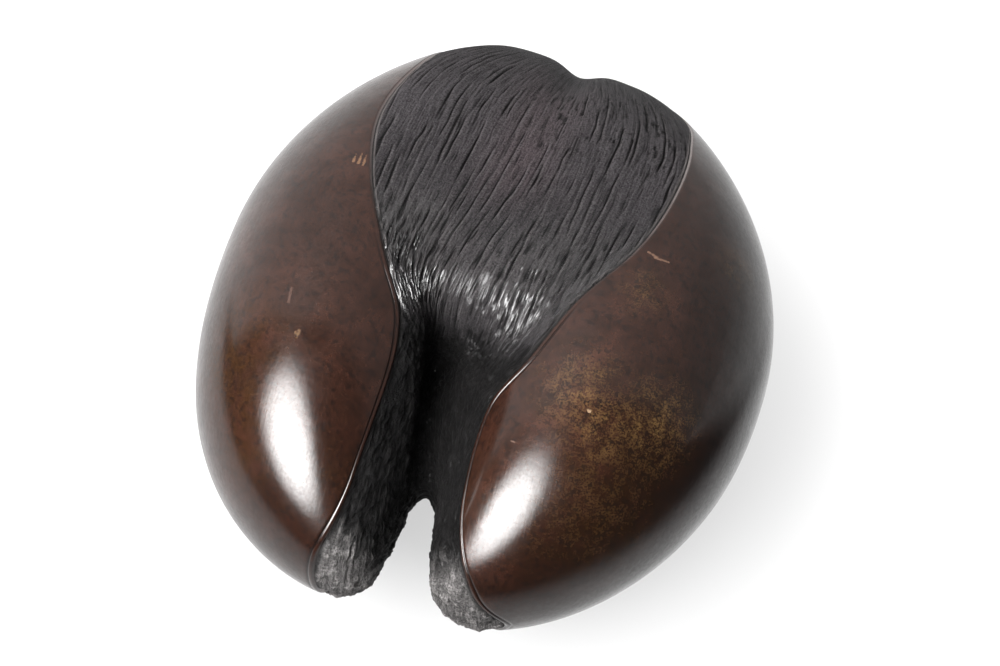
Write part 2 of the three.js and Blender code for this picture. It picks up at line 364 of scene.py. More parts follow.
def notched(points, turn):
    """Sinks the points beside the seam at the notched end."""
    fade = 1 - ramp(np.abs(degrees_from(turn, 0)), NOTCH["full_to"], NOTCH["gone_at"])
    near = bell(points[..., 0] - seam(points[..., 1]), NOTCH["half_width"])
    return points - (NOTCH["depth"] * fade * near)[..., None] * outward(turn)


def husk_point(lobe, way, turn):
    """The husk: way 0 to 1 is the bridge, 1 to 2 the ledge of husk on the lobe."""
    polish, bridge = edges(lobe, turn)
    on_bridge = bridge_point(lobe, np.clip(way, 0, 1), turn)
    on_lobe = lobe_point(lobe, bridge + (polish - bridge) * np.clip(way - 1, 0, 1), turn)
    return notched(np.where(way[..., None] < 1, on_bridge, on_lobe), turn)


def round_turns():
    """The turns of the rounds, at even steps of a summed density."""
    degrees = np.linspace(0, 360, FINE_TURNS)
    heart = 1 - ramp(degrees, *DENSITY["heart_ends"]) + ramp(degrees, *DENSITY["heart_starts"])
    tips = bell(degrees - DENSITY["tips_at"], DENSITY["tips_width"])
    density = DENSITY["even"] + DENSITY["heart"] * heart + DENSITY["tips"] * tips
    count = np.concatenate([[0], np.cumsum((density[1:] + density[:-1]) / 2)])
    return np.interp(np.arange(ROUNDS) / ROUNDS * count[-1], count, degrees) * DEGREE


def husk_columns(lobe, turn):
    """Even steps over the husk from the seam to the polish: (their ways, their distances)."""
    fine = np.linspace(0, 2, FINE_WAYS)[:, None] + 0 * turn
    points = husk_point(lobe, fine, turn + 0 * fine)
    steps = np.linalg.norm(np.diff(points, axis=0), axis=-1)
    distance = np.concatenate([0 * turn[None], np.cumsum(steps, axis=0)])
    wanted = np.linspace(0, 1, HUSK_COLUMNS)[:, None] * distance[-1]
    ways = [np.interp(wanted[:, j], distance[:, j], fine[:, j]) for j in range(len(turn))]
    return np.stack(ways, 1), wanted


def softened(points):
    """Blurs the husk across, with its two edges held, so that no crease shows in it."""
    for _ in range(HUSK_BLURS):
        points[1:-1] = (points[:-2] + 2 * points[1:-1] + points[2:]) / 4
    return points


def polished_columns(lobe, turn):
    """Fine steps over the lip, then even steps to the pole: (angles, distances from the lip)."""
    edge = edges(lobe, turn)[0]
    step = lobe_point(lobe, edge - NUDGE, turn) - lobe_point(lobe, edge, turn)
    speed = np.linalg.norm(step, axis=-1) / NUDGE
    lip = edge - LIP_COLUMNS[:, None] / speed
    shares = np.linspace(1, 0, POLISHED_COLUMNS + 1)[1:-1, None]
    angles = np.concatenate([lip, lip[-1] * shares])
    return angles, (edge - angles) * speed


def build_half(lobe):
    """One half of the smooth seed as a grid of points, with its turns and distances."""
    turn = round_turns()
    ways, across = husk_columns(lobe, turn)
    husk = softened(husk_point(lobe, ways, turn + 0 * ways))
    angles, inland = polished_columns(lobe, turn)
    polish = lobe_point(lobe, angles, turn + 0 * angles)
    points = np.concatenate([husk, polish])
    return dict(lobe=lobe, turn=turn, points=points, across=across, inland=inland)


def normals_of(points, side):
    """Unit normals of a grid of columns and closed rounds, pointing out of the seed."""
    across = np.gradient(points, axis=0)
    around = (np.roll(points, -1, 1) - np.roll(points, 1, 1)) / 2
    normal = np.cross(across, around) * -side
    return normal / np.linalg.norm(normal, axis=-1, keepdims=True)


def placed(halves):
    """Moves both halves to the middle of the CAD box and down by the flat spots' cut.

    Gives the factors that keep them inside the box: its sides over theirs, at most 1.
    """
    every = np.concatenate([half["points"].reshape(-1, 3) for half in halves])
    low, high = np.array(cad_box[0]) / MM, np.array(cad_box[1]) / MM
    move = (low + high) / 2 - (every.min(0) + every.max(0)) / 2
    move[2] = -FLAT_SPOT_CUT
    for half in halves:
        half["points"] += move
    every = every + move
    size = every.max(0) - every.min(0)
    size[2] = every[:, 2].max()
    return np.minimum(1, (high - low) / size)


def add_normals(halves):
    """Gives each half its normals, and both the same ones along the seam: their mean."""
    for half in halves:
        half["normals"] = normals_of(half["points"], half["lobe"]["side"])
    shared = halves[0]["normals"][0] + halves[1]["normals"][0]
    for half in halves:
        half["normals"][0] = shared / np.linalg.norm(shared, axis=-1, keepdims=True)


def lattice(seed, points):
    """Smooth noise from -1 to 1: seeded numbers on a cubic lattice, blended softly."""
    table = np.random.default_rng(seed).random((NOISE_CELLS, NOISE_CELLS, NOISE_CELLS)) * 2 - 1
    cell = np.floor(points).astype(int)
    near = smooth(points - cell)
    value = 0
    for corner in range(8):
        step = np.array([corner & 1, corner >> 1 & 1, corner >> 2])
        weight = np.prod(np.where(step == 1, near, 1 - near), axis=-1)
        i, j, k = np.moveaxis((cell + step) % NOISE_CELLS, -1, 0)
        value = value + weight * table[i, j, k]
    return value


def layered(seed, points, layers):
    """Noise in layers, each at twice the detail and half the strength."""
    total = sum(lattice(seed + n, points * 2 ** n) / 2 ** n for n in range(layers))
    return total / (2 - 2 / 2 ** layers)


def strands(seed, way, width, length):
    """Noise drawn out along the fibres, with a width across them and a length."""
    return layered(seed, way / [width, length, length], 2)


def ridged(noise, steepness):
    """Sharp crests where noise crosses 0: 1 less the steepness times its size."""
    return 1 - steepness * np.abs(noise)


def fibre_way(fibre, turn):
    """Coordinates that follow the fibres: across them, and round the seed on a circle."""
    radius = MEAN_RADIUS + 0 * fibre
    return np.stack([fibre, radius * np.cos(turn), radius * np.sin(turn)], -1)


def fibre_run(half):
    """The fibre that each point of the husk lies on, in mm across them, and their spread.

    That is the distance from the seam, moved with the seam's swing, over the spread.
    """
    lobe, across = half["lobe"], half["across"]
    from_notch = np.abs(degrees_from(half["turn"], 0))
    start = lobe["notch_spread"]
    spread = (start + (1 - start) * ramp(from_notch, 0, FIBRES["spread_by"])
              - FIBRES["closing"] * ramp(from_notch, *FIBRES["closes"]))
    swing = (seam(half["points"][0, :, 1]) - SEAM["x"]) * ramp(across, 0, FIBRES["swing_by"])
    swing = swing * (1 - lobe["straightened"] * ramp(across, 0, FIBRES["straight_by"]))
    return (lobe["side"] * across + swing) / spread, spread


def grooves(fibre, turn, spread):
    """Wavy broken grooves along the fibres, about 4 mm apart, and the rims beside them.

    Each is a bell across the fibres. Its place, depth and width follow noise along it.
    """
    def noisy(seed, line, change):
        amount, length = change
        return amount * lattice(seed, line / length)

    rng = np.random.default_rng(5)
    carved, rim = 0 * fibre, 0 * fibre
    for k in range(-GROOVES["each_side"], GROOVES["each_side"] + 1):
        place = k * GROOVES["spacing"] + rng.uniform(-GROOVES["stray"], GROOVES["stray"])
        line = fibre_way(np.full_like(turn, GROOVES["row_gap"] * k), turn)
        wiggle = noisy(11, line, GROOVES["wave"]) + noisy(12, line, GROOVES["kink"])
        deep = np.clip(GROOVES["depth"] + noisy(13, line, GROOVES["depth_change"]), 0, 1)
        width = GROOVES["width"] + noisy(14, line, GROOVES["width_change"])
        aside = (fibre - place - wiggle) * spread
        carved = np.maximum(carved, deep * bell(aside, width))
        rim = np.maximum(rim, deep * bell(aside - GROOVES["rim_at"], GROOVES["rim_width"]))
    return carved, rim


def husk_zones(half, inland):
    """Masks of the husk's zones: products of soft steps and bells."""
    lobe, degrees = half["lobe"], half["turn"] / DEGREE
    x, y, z = np.moveaxis(half["points"][:HUSK_COLUMNS], -1, 0)
    front = ramp(z, *FRONT)
    cleft = ramp(degrees, *CLEFT["begins"]) * (1 - ramp(degrees, *CLEFT["ends"])) + 0 * x
    heart = (1 - cleft) * front
    bend = SHOULDER["tilt"] * (x - SHOULDER["level_x"])
    shoulder = (bell(degrees - SHOULDER["at"] + bend, SHOULDER["width"])
                * ramp(z, *SHOULDER["reach_up"]) * (1 - ramp(degrees, *SHOULDER["ends"])))
    calm = SHOULDER["calm"] * bell(x - SHOULDER["calm_x"], SHOULDER["calm_width"])
    shoulder = shoulder * (1 - calm + SHOULDER["strong"] * ramp(x, *SHOULDER["strong_x"]))
    below = (bell(degrees - BELOW["at"], BELOW["width"]) * ramp(z, *BELOW["reach_up"])
             * ramp(inland, *BELOW["inland"]))
    return dict(
        heart=heart, shoulder=shoulder, below=below, cleft=cleft,
        # Painted light: the top of the heart is coloured lighter, as if lit from above and behind.
        lit_crown=ramp(y, *LIT_CROWN) * front,
        valley=bell(x - seam(y), VALLEY_WIDTH) * ramp(y, *VALLEY) * front,
        bump=lobe["pits"] * heart * ramp(y, *BUMP),
        tip=ramp(y, lobe["worn_from"], lobe["worn_from"] - WORN_FADE),
    )


def husk_patterns(points, way):
    """Patterns of the husk: noise, crests of noise and dents, each of a size in mm."""
    return dict(
        streak=strands(21, way, width=2.0, length=22),
        fine=ridged(strands(22, way, width=1.25, length=8), steepness=2.6),
        rope=ridged(strands(23, way, width=1.05, length=8), steepness=3.0),
        knots=strands(24, way, width=1.3, length=3.4),
        bark=layered(25, points / 5.0, layers=4),
        crack=np.clip(ridged(layered(26, points / [7.0, 5.0, 2.4], layers=3), steepness=3.4), 0, 1),
        dent=ramp(lattice(27, way / [1.7, 2.4, 2.4]), begin=0.42, full=0.64),
        grain=lattice(29, points / 0.95),
        lumps=layered(30, points / [7.0, 7.0, 4.5], layers=2),
    )


def husk_relief(half):
    """Heights of the husk in mm, its masks, and its coordinates along the fibres.

    The height is the sum over the zones of each pattern's amount times the pattern. It
    fades at the polish's edge to the foot of the lip.
    """
    turn, points = half["turn"], half["points"][:HUSK_COLUMNS]
    inland = half["across"][-1] - half["across"]
    fibre, spread = fibre_run(half)
    way = fibre_way(fibre, turn + 0 * fibre)
    zones = husk_zones(half, inland)
    patterns = husk_patterns(points, way)
    groove, rim = grooves(fibre, turn, spread)
    faint = 1 - VALLEY_CALM * zones["valley"]
    patterns.update(groove=groove, rim=rim, faint_groove=groove * faint)
    height = sum(zones[zone] * amount * patterns[name]
                 for zone, amounts in RELIEF.items() for name, amount in amounts.items())
    rise = ramp(inland, 0, RELIEF_START)
    height = (height - RELIEF_SINK) * rise - LIP_DEPTH * (1 - rise)

    rope, shoulder = patterns["rope"], zones["shoulder"]
    wet = shoulder * (GLINT["least"] + GLINT["rope"] * np.clip(GLINT["sharp"] * rope, 0, 1))
    calm = GLINT["calm"] * bell(points[..., 0] - SHOULDER["calm_x"], GLINT["calm_width"])
    round_lit_hem = bell(degrees_from(turn, 0) - LIT_HEM["turn"], LIT_HEM["reach"])
    masks = dict(
        lit_crown=zones["lit_crown"], valley=zones["valley"], tip=zones["tip"], cleft=zones["cleft"],
        # Painted highlight: the rims beside the grooves, and the shoulder, are coloured lighter as if
        # lit.
        lit_rim=np.clip(zones["heart"] * rim + shoulder, 0, 1),
        shoulder=np.clip(wet, 0, 1) * (1 - calm),
        below=np.clip(zones["below"] * rope, 0, 1),
        # Painted shade: the deeper the relief sinks, the darker it is coloured.
        cavity_shade=np.clip(-height / CAVITY_DEPTH, 0, 1),
        # Painted shade: a dark line in the husk along its edge at the polish.
        crevice_shade=bell(inland, CREVICE_SHADE_WIDTH),
        # Painted highlight: a pale line along the husk's edge beside the polish, towards the notched
        # end.
        hem=bell(inland - LIT_HEM["inland"], LIT_HEM["width"]) * round_lit_hem,
    )
    return height, masks, way


def polish_relief(half):
    """Heights of the polished shell in mm, and its masks: lip, scored line and waves."""
    degrees, inland = half["turn"] / DEGREE, half["inland"]
    scored = ramp(degrees, *SCORE["begins"]) * (1 - ramp(degrees, *SCORE["ends"]))
    wave = lattice(31, half["points"][HUSK_COLUMNS:] / WAVES["length"]) - 1
    height = (WAVES["height"] * wave * ramp(inland, 0, WAVES["full_at"])
              - LIP_DEPTH * bell(inland, LIP["width"])
              - SCORE["depth"] * scored * bell(inland - SCORE["inland"], SCORE["width"]))
    round_lip = bell(degrees_from(half["turn"], 0) - LIP_HIGHLIGHT["turn"], LIP_HIGHLIGHT["reach"])
    masks = dict(
        lip=bell(inland, LIP["shade_width"]),
        # Painted highlight: the rolled lip is coloured pale towards the notched end, as if it caught
        # the light.
        lip_highlight=bell(inland - LIP_HIGHLIGHT["inland"], LIP_HIGHLIGHT["width"]) * round_lip,
        # Painted shade: the scored groove is coloured dark.
        scored=scored * bell(inland - SCORE["inland"], SCORE["shade_width"]),
    )
    return height, masks


def patches(points, places):
    """Where some patches lie: bells round their middles, the strongest one counting."""
    parts = [strength * bell(np.linalg.norm(points - np.array(middle), axis=-1), reach)
             for middle, reach, strength in places]
    return np.max(parts, axis=0)


def closed_piece(name, grid, hubs, fit, masks, way=None):
    """Rings of points closed at both ends, as one mesh with its masks.

    The grid holds the rings. Quads join each ring to the next, and a fan joins each end
    ring to its hub. A hub is a point, and whether it is hidden inside the seed: there the
    ring's edges are sharp.
    """
    rings, count = grid.shape[:2]
    middles, are_hidden = zip(*hubs)
    points = np.concatenate([grid.reshape(-1, 3), middles]) * fit
    points[:, 2] = np.maximum(points[:, 2], 0)
    index = np.arange(rings * count).reshape(rings, count)
    after = np.roll(index, -1, 1)
    quads = np.stack([index[:-1], index[1:], after[1:], after[:-1]], -1).reshape(-1, 4)
    fans = np.concatenate([
        np.stack([index[0], after[0], np.full(count, rings * count)], -1),
        np.stack([after[-1], index[-1], np.full(count, rings * count + 1)], -1),
    ])
    # Rings that follow each other to +X are wound the other way.
    if grid[rings // 2, :, 0].mean() > middles[0][0]:
        quads, fans = quads[:, ::-1], fans[:, ::-1]
    mesh = bpy.data.meshes.new(name)
    mesh.from_pydata(points * MM, [], quads.tolist() + fans.tolist())
    mesh.shade_smooth()

    ends = np.empty(2 * len(mesh.edges), np.int32)
    mesh.edges.foreach_get("vertices", ends)
    ends = ends.reshape(-1, 2)
    sharp = np.zeros(len(ends), bool)
    for ring, hidden in zip((index[0], index[-1]), are_hidden):
        if hidden:
            sharp |= np.isin(ends, ring).all(1)
    mesh.attributes.new("sharp_edge", "BOOLEAN", "EDGE").data.foreach_set("value", sharp)
    for mask, values in masks.items():
        filled = np.append(values, [0, 0]).astype(np.float32)
        mesh.attributes.new(mask, "FLOAT", "POINT").data.foreach_set("value", filled)
    if way is not None:
        filled = np.append(way * MM, np.zeros((2, 3))).astype(np.float32)
        layer = mesh.attributes.new("fibres", "FLOAT_VECTOR", "POINT")
        layer.data.foreach_set("vector", filled)
    piece = bpy.data.objects.new(name, mesh)
    bpy.context.scene.collection.objects.link(piece)
    return piece


class Tree:
    """Adds nodes to one shader tree, joined as they are made."""

    def __init__(self, tree):
        self.tree = tree

    def node(self, kind, inputs=None, **settings):
        """A node with its settings, whose inputs get a value or a link."""
        made = self.tree.nodes.new("ShaderNode" + kind)
        for name, value in settings.items():
            setattr(made, name, value)
        for name, value in (inputs or {}).items():
            self.put(made.inputs[name], value)
        return made

    def put(self, socket, value):
        """Links a socket to another one, or sets it; a colour gets its alpha."""
        if isinstance(value, bpy.types.NodeSocket):
            self.tree.links.new(value, socket)
        elif isinstance(value, tuple) and len(value) == 3 and socket.type == "RGBA":
            socket.default_value = (*value, 1)
        else:
            socket.default_value = value

    def math(self, operation, a, b=0.0, clamp=False):
        """One operation on two values, held from 0 to 1 where it is clamped."""
        return self.node("Math", {0: a, 1: b}, operation=operation, use_clamp=clamp).outputs[0]

    def plus(self, a, b):
        """The sum of two values."""
        return self.math("ADD", a, b)

    def times(self, a, b):
        """The product of two values."""
        return self.math("MULTIPLY", a, b)

    def vectors(self, operation, a, b=(0.0, 0.0, 0.0)):
        """One operation on two vectors: the outputs, for a vector and for a value."""
        return self.node("VectorMath", {0: a, 1: b}, operation=operation).outputs

    def mix(self, share, a, b):
        """Colour a, turned to colour b by a share."""
        return self.node("Mix", {0: share, 6: a, 7: b}, data_type="RGBA").outputs[2]

    def laid_over(self, colour, layers):
        """Lays shades over a colour in turn, each by its mask times its strength."""
        for mask, strength, shade in layers:
            colour = self.mix(self.times(mask, strength), colour, shade)
        return colour

    def remap(self, value, low, high, to_low=0.0, to_high=1.0, **settings):
        """The line from low to high, laid from to_low to to_high and held at its ends."""
        return self.node("MapRange", {"Value": value, "From Min": low, "From Max": high,
                                      "To Min": to_low, "To Max": to_high}, **settings).outputs[0]

    def soft_step(self, value, low, high):
        """A soft step from 0 at low to 1 at high."""
        return self.remap(value, low, high, interpolation_type="SMOOTHSTEP")

    def mask(self, name):
        """A mask that the piece carries."""
        return self.node("Attribute", attribute_name=name).outputs["Fac"]

    def stretched(self, vector, scale):
        """A pattern's coordinates with a scale for each axis."""
        return self.node("Mapping", {"Vector": vector, "Scale": scale}).outputs[0]

    def noise(self, vector, scale, detail=3.0, rough=0.5, distortion=0.0):
        """Noise from 0 to 1 with so many cells to the metre."""
        return self.node("TexNoise", {"Vector": vector, "Scale": scale, "Detail": detail,
                                      "Roughness": rough, "Distortion": distortion}).outputs[0]

    def group(self, made_group, **inputs):
        """Places a node group, for its mask."""
        return self.node("Group", inputs, node_tree=made_group).outputs["Mask"]


def new_group(name, inputs):
    """A node group with named inputs that puts out a mask: (its Tree, inputs, the mask)."""
    made = bpy.data.node_groups.new(name, "ShaderNodeTree")
    kinds = {"value": "NodeSocketFloat", "vector": "NodeSocketVector"}
    for socket, kind in inputs.items():
        made.interface.new_socket(socket, in_out="INPUT", socket_type=kinds[kind])
    made.interface.new_socket("Mask", in_out="OUTPUT", socket_type="NodeSocketFloat")
    given = made.nodes.new("NodeGroupInput").outputs
    mask = made.nodes.new("NodeGroupOutput").inputs["Mask"]
    return Tree(made), given, mask


def mottle_group():
    """Blotches of a given size: noise stretched round its middle, the harder the more."""
    tree, given, mask = new_group("mottle", {"Vector": "vector", "Scale": "value",
                                             "Hardness": "value"})
    blotch = tree.noise(given["Vector"], given["Scale"], detail=5.0, rough=0.62, distortion=0.35)
    reach = tree.math("DIVIDE", 0.5, given["Hardness"])
    low = tree.math("SUBTRACT", 0.5, reach)
    tree.put(mask, tree.remap(blotch, low, tree.plus(0.5, reach)))
    return tree.tree


def speckle_group():
    """Small dots: noise of one size cut off high, so that few of them show."""
    tree, given, mask = new_group("speckle", {"Vector": "vector", "Scale": "value", "Cut": "value"})
    border = 0.09
    dots = tree.noise(given["Vector"], given["Scale"], detail=2.0, rough=0.6)
    tree.put(mask, tree.remap(dots, given["Cut"], tree.plus(given["Cut"], border)))
    return tree.tree


def mark_group():
    """A mark along a straight line: 1 near the line, fading out at its ragged width.

    The nearest place on the line lies at a share of it: the gap times the line, over the
    line times itself, held from 0 to 1.
    """
    tree, given, mask = new_group("mark", {"Vector": "vector", "From": "vector",
                                           "Along": "vector", "Width": "value"})
    raggedness = 1.6
    ragged = tree.math("SUBTRACT", tree.noise(given["Vector"], scale=900.0), 0.5)
    gap = tree.vectors("SUBTRACT", given["Vector"], given["From"])[0]
    reach = tree.vectors("DOT_PRODUCT", gap, given["Along"])["Value"]
    whole = tree.vectors("DOT_PRODUCT", given["Along"], given["Along"])["Value"]
    share = tree.math("DIVIDE", reach, whole, clamp=True)
    step = tree.node("VectorMath", {0: given["Along"], "Scale": share}, operation="SCALE")
    away = tree.vectors("LENGTH", tree.vectors("SUBTRACT", gap, step.outputs[0])[0])["Value"]
    near = tree.plus(tree.math("DIVIDE", away, given["Width"]), tree.times(ragged, raggedness))
    tree.put(mask, tree.remap(near, 1.0, 0.5))
    return tree.tree


MOTTLE, SPECKLE, MARK = mottle_group(), speckle_group(), mark_group()


def new_material(name):
    """A material with a Principled shader: (the material, its Tree, the shader)."""
    material = bpy.data.materials.new(name)
    material.use_nodes = True
    return material, Tree(material.node_tree), material.node_tree.nodes["Principled BSDF"]


def mark_layers(tree, place):
    """The marks on the polish as layers of colour."""
    for start, end, width, shade, strength in MARKS:
        along = tuple(MM * (b - a) for a, b in zip(start, end))
        near = tree.group(MARK, Vector=place, From=tuple(MM * a for a in start), Along=along,
                          Width=MM * width)
        yield near, strength, shade


def polish_material():
    """Polished shell: dark red-brown, mottled, with amber and gold flecks under a gloss."""
    material, tree, shader = new_material("polished_shell")
    place = tree.node("TexCoord").outputs["Object"]
    blotch = {name: tree.group(MOTTLE, Vector=place, Scale=scale, Hardness=hardness)
              for name, (scale, hardness) in POLISH_BLOTCHES.items()}
    speck = {name: tree.group(SPECKLE, Vector=place, Scale=scale, Cut=cut)
             for name, (scale, cut) in POLISH_SPECKS.items()}
    shades, small, pores = POLISH_SHADES, blotch["small"], blotch["pores"]
    amber = tree.times(tree.mask("amber"), tree.remap(small, 0.0, 1.0, 0.15, 0.9))
    dust = tree.times(tree.mask("gold"), tree.remap(speck["flecks"], 0.0, 1.0, 0.15, 1.0))
    dust = tree.times(dust, tree.remap(blotch["worn"], 0.0, 1.0, 0.15, 0.9))
    tree.put(shader.inputs["Base Color"], tree.laid_over(
        tree.mix(blotch["broad"], shades["umber"], shades["chestnut"]), [
            (blotch["cloud"], 0.7, shades["cloud"]),
            (small, 0.7, shades["stain"]),
            (pores, 0.35, shades["pore"]),
            (amber, 1.0, tree.mix(pores, shades["deep_amber"], shades["amber"])),
            (dust, 1.0, shades["gold"]),
            (speck["dots"], 0.6, shades["dot"]),
            *mark_layers(tree, place),
            # Painted shade in the scored groove.
            (tree.mask("scored"), 0.9, shades["scored_shade"]),
            (tree.mask("lip"), 0.6, shades["lip"]),
            # Painted highlight on the rolled lip.
            (tree.mask("lip_highlight"), 0.65, shades["lip_highlight"]),
        ]))

    # The gloss varies with the wear, and is duller on the blotches and pores. Scratches run
    # along the seed over an uneven skin.
    wear = tree.noise(place, scale=60.0, detail=4.0, rough=0.6)
    tree.put(shader.inputs["Roughness"], tree.remap(wear, 0.3, 0.7, 0.19, 0.27))
    dullness = tree.plus(tree.times(small, 0.35), tree.times(pores, 0.65))
    tree.put(shader.inputs["Coat Weight"], tree.remap(dullness, 0.25, 0.75, 0.50, 0.30))
    shader.inputs["Coat Roughness"].default_value = 0.09
    shader.inputs["Specular IOR Level"].default_value = 0.22
    scratch = tree.noise(tree.stretched(place, (900.0, 60.0, 200.0)), scale=1.0, detail=2.0,
                         distortion=0.4)
    skin = tree.noise(place, scale=260.0)
    bump = tree.node("Bump", {"Strength": 0.24, "Distance": 0.0004,
                              "Height": tree.plus(tree.times(scratch, 0.6), skin)})
    tree.put(shader.inputs["Normal"], bump.outputs[0])
    return material


def husk_material():
    """Dark charcoal husk: painted shade in the grooves, painted highlights on their rims, a plum
    valley, grey tips.
    """
    material, tree, shader = new_material("fibrous_husk")
    place = tree.node("TexCoord").outputs["Object"]
    fibres = tree.node("Attribute", attribute_name="fibres").outputs["Vector"]
    broad = tree.group(MOTTLE, Vector=place, Scale=30.0, Hardness=1.6)
    streak = tree.noise(tree.stretched(fibres, (560.0, 55.0, 55.0)), scale=1.0, detail=6.0,
                        rough=0.68, distortion=0.3)
    hair = tree.noise(tree.stretched(fibres, (1500.0, 150.0, 150.0)), scale=1.0, detail=4.0,
                      rough=0.65, distortion=0.2)
    grit = tree.noise(place, scale=1100.0, detail=4.0, rough=0.7)
    shades = HUSK_SHADES
    cleft, tip, shoulder = tree.mask("cleft"), tree.mask("tip"), tree.mask("shoulder")
    worn = tree.times(tip, tree.remap(grit, 0.36, 0.56, 0.25, 1.0))
    worn = tree.times(worn, tree.remap(streak, 0.30, 0.50, 0.35, 1.0))
    carved = tree.remap(tree.mask("cavity_shade"), 0.34, 0.66)
    tree.put(shader.inputs["Base Color"], tree.laid_over(
        tree.mix(broad, shades["charcoal"], shades["ash"]), [
            # Painted light on the top of the heart.
            (tree.mask("lit_crown"), 1.0, shades["lit_crown"]),
            (tree.mask("valley"), 0.8, shades["plum"]),
            # Painted highlight on the groove rims and the shoulder.
            (tree.mask("lit_rim"), 0.62, shades["lit_rim"]),
            (tree.remap(streak, 0.44, 0.34), 0.85, shades["gap"]),
            (tree.remap(hair, 0.42, 0.30), 0.7, shades["gap"]),
            (tree.remap(grit, 0.50, 0.38), 0.85, shades["pit"]),
            (tree.remap(grit, 0.54, 0.66), 0.35, shades["grain"]),
            (shoulder, 0.75, shades["shoulder"]),
            # Painted shade: the cleft and the back are laid nearly black, mostly for the shade deep
            # between the lobes, over the dark fibre.
            (cleft, tree.remap(hair, 0.64, 0.44, 0.66, 0.97), shades["cleft"]),
            (worn, 1.0, shades["worn"]),
            # Painted shade: the cavities are laid nearly black, less so on the tips.
            (carved, tree.remap(tip, 0.0, 1.0, 0.94, 0.45), shades["groove"]),
            # Painted shade along the husk's edge at the polish.
            (tree.mask("crevice_shade"), 0.9, shades["groove"]),
            # Painted highlight along the husk's edge.
            (tree.mask("hem"), 0.6, shades["hem"]),
        ]))

    # The husk is rough, worn dull at the tips and glossy over the shoulder. Faint glints
    # follow the hairs in the cleft and the ropes below the shoulder.
    rough = tree.remap(streak, 0.3, 0.6, 0.62, 0.48)
    rough = tree.math("SUBTRACT", rough, tree.times(shoulder, 0.25))
    rough = tree.math("ADD", rough, tree.times(tip, 0.15), clamp=True)
    tree.put(shader.inputs["Roughness"], rough)
    glint = tree.times(cleft, tree.remap(hair, 0.5, 0.7, 0.0, 0.10))
    glint = tree.math("MAXIMUM", glint, tree.times(tree.mask("below"), 0.1))
    tree.put(shader.inputs["Coat Weight"], tree.math("MAXIMUM", shoulder, glint, clamp=True))
    shader.inputs["Coat Roughness"].default_value = 0.14
    shader.inputs["Specular IOR Level"].default_value = 0.12
    rise = tree.plus(tree.plus(streak, tree.times(hair, 0.7)), tree.times(grit, 1.1))
    rise = tree.times(rise, tree.remap(shoulder, 0.0, 1.0, 1.0, 0.38))
    bump = tree.node("Bump", {"Strength": 1.0, "Distance": 0.0020, "Height": rise})
    tree.put(shader.inputs["Normal"], bump.outputs[0])
    return material


def add_seed():
    """The seed's four pieces: the husk and the polished shell of each half.

    A shell starts with the husk's last ring, and its masks there repeat their first row.
    """
    halves = [build_half(LEFT), build_half(RIGHT)]
    fit = placed(halves)
    add_normals(halves)
    polish, fibrous = polish_material(), husk_material()
    for half in halves:
        side = half["lobe"]["side"]
        word = "left" if side < 0 else "right"
        husk_height, husk_masks, way = husk_relief(half)
        polish_height, polish_masks = polish_relief(half)
        height = np.concatenate([husk_height, polish_height])[..., None]
        surface = half["points"] + height * half["normals"]
        polish_masks = {name: np.concatenate([values[:1], values])
                        for name, values in polish_masks.items()}
        polish_masks["amber"] = patches(half["points"][HUSK_COLUMNS - 1:], AMBER)
        polish_masks["gold"] = patches(half["points"][HUSK_COLUMNS - 1:], GOLD)
        inside = (LOBE_HUBS[side], True)
        pole = (half["points"][-1].mean(0), False)
        husk = closed_piece(f"{word}_husk", surface[:HUSK_COLUMNS], [(SEAM_HUB, True), inside],
                            fit, husk_masks, way)
        shell = closed_piece(f"{word}_shell", surface[HUSK_COLUMNS - 1:], [inside, pole],
                             fit, polish_masks)
        for piece, material in ((husk, fibrous), (shell, polish)):
            piece.data.materials.append(material)
            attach(piece, "root")
            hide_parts("seed")


def add_floor():
    """A wide pale floor that isn't part of the object.

    The camera sees its glow go from a painted soft shadow under the seed to white. The seed
    mirrors the sheet it would lie on, a glow in place of a lamp: bright round itself and
    behind it, and dark further out in front.
    """
    bpy.ops.mesh.primitive_plane_add(size=FLOOR["size"])
    floor = bpy.context.object
    floor.name = "floor"
    material, tree, shader = new_material("pale_floor")
    tree.put(shader.inputs["Base Color"], (FLOOR["grey"], FLOOR["grey"], FLOOR["grey"]))
    tree.put(shader.inputs["Roughness"], FLOOR["roughness"])
    tree.put(shader.inputs["Emission Color"], (1.0, 1.0, 1.0))
    place = tree.node("TexCoord").outputs["Object"]
    reach = tree.vectors("LENGTH", place)["Value"]
    # Painted shadow: the floor's glow is dimmer under the seed, a soft contact shadow.
    tree.put(shader.inputs["Emission Strength"],
             tree.remap(reach, FLOOR["dim_to"], FLOOR["white_from"], FLOOR["dim"], FLOOR["white"]))
    spot = tree.node("SeparateXYZ", {0: place}).outputs
    slanted = tree.plus(reach, tree.times(spot["X"], FLOOR["sheet_slant"]))
    near = tree.soft_step(slanted, *FLOOR["sheet_ends"])
    behind = tree.soft_step(spot["Y"], *FLOOR["behind"])
    aside = FLOOR["half_width"]
    sided = tree.remap(spot["X"], -aside, aside, FLOOR["left"], FLOOR["right"])
    sheet = tree.times(tree.math("MAXIMUM", near, behind), sided)
    mirrored = tree.node("Emission", {
        "Strength": tree.plus(tree.times(sheet, FLOOR["sheet"]), FLOOR["rest"])})
    seen = tree.node("LightPath").outputs["Is Camera Ray"]
    chosen = tree.node("MixShader", {0: seen, 1: mirrored.outputs[0], 2: shader.outputs[0]})
    out = material.node_tree.nodes["Material Output"]
    tree.put(out.inputs["Surface"], chosen.outputs[0])
    floor.data.materials.append(material)


